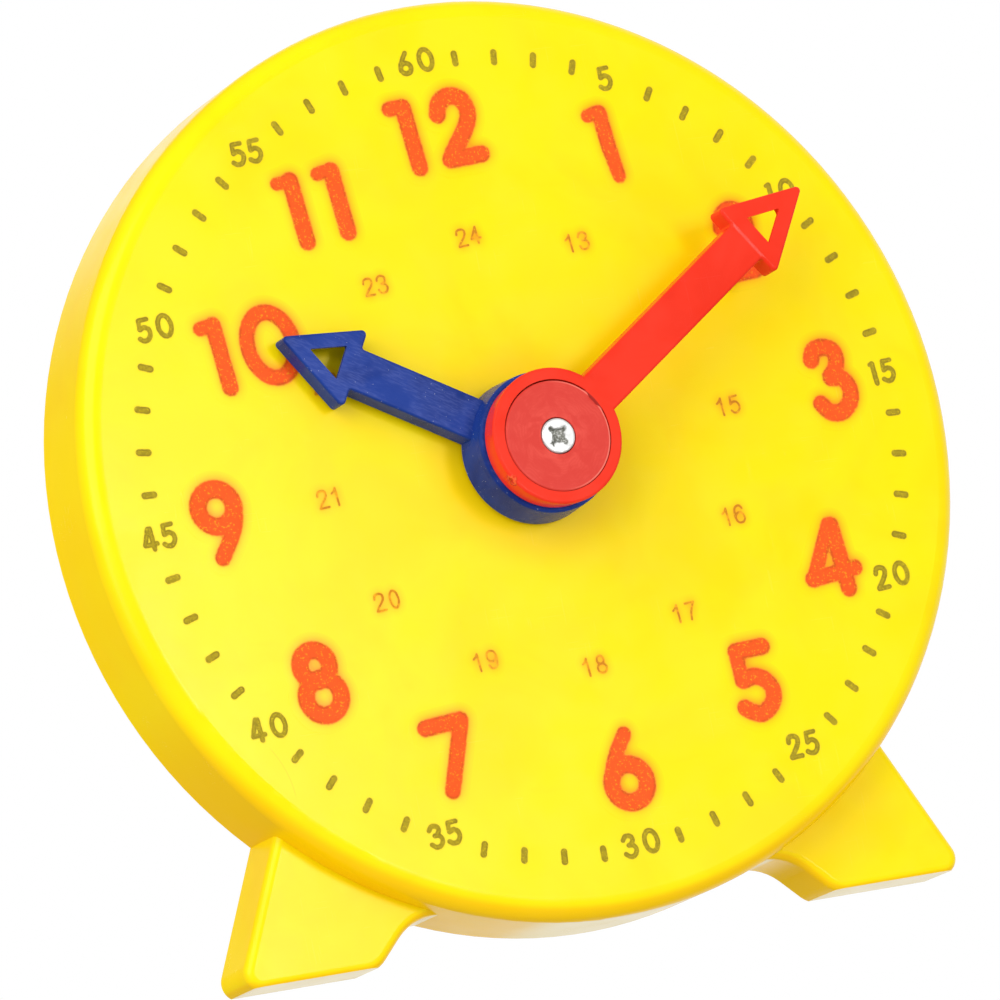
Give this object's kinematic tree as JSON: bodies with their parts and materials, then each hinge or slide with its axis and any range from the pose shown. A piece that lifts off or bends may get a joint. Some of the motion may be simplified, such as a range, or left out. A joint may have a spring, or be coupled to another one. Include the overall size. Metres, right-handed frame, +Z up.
{
  "type": "geared teaching clock",
  "caption": "Round plastic teaching clock on two moulded feet, with hour and minute hands linked by enclosed gears; turning the minute hand moves the hour hand at one twelfth of its rate.",
  "frame": {"origin": "on the surface the clock stands on, under the middle of its width and depth", "axes": "+Z up, the dial faces -Y, +X to the right of someone who reads the dial"},
  "size_m": [0.1004, 0.0204, 0.1011],
  "materials": {
    "case_plastic": "smooth gloss, moulded in yellow",
    "cover_plastic": "fine satin, moulded in yellow",
    "gear_plastic": "natural white, as moulded",
    "blue_plastic": "smooth gloss with light scuffs",
    "red_plastic": "smooth gloss",
    "cap_plastic": "smooth gloss",
    "zinc_steel": "bright zinc plating"
  },
  "bodies": {
    "case": {"dial_case": "case_plastic", "back_cover": "cover_plastic", "cover_screws": "zinc_steel"},
    "minute": {"minute_hand": "red_plastic", "hand_cap": "cap_plastic", "hand_screw": "zinc_steel", "minute_arbor": "gear_plastic"},
    "idler": {"idler_gear": "gear_plastic"},
    "hour": {"hour_hand": "blue_plastic", "hour_wheel": "gear_plastic"}
  },
  "joints": [
    {"name": "minute_turn", "type": "hinge", "parent": "case", "child": "minute", "pos_m": [0, -0.00183, 0.0509], "axis": [0, 1, 0], "continuous": true},
    {"name": "idler_turn", "type": "hinge", "parent": "case", "child": "idler", "pos_m": [0, -0.00183, 0.0269], "axis": [0, 1, 0], "continuous": true},
    {"name": "hour_turn", "type": "hinge", "parent": "case", "child": "hour", "pos_m": [0, -0.00183, 0.0509], "axis": [0, 1, 0], "continuous": true}
  ],
  "couplings": [
    {"joint": "idler_turn", "follows": "minute_turn", "ratio": -0.33333},
    {"joint": "hour_turn", "follows": "minute_turn", "ratio": 0.083333}
  ]
}
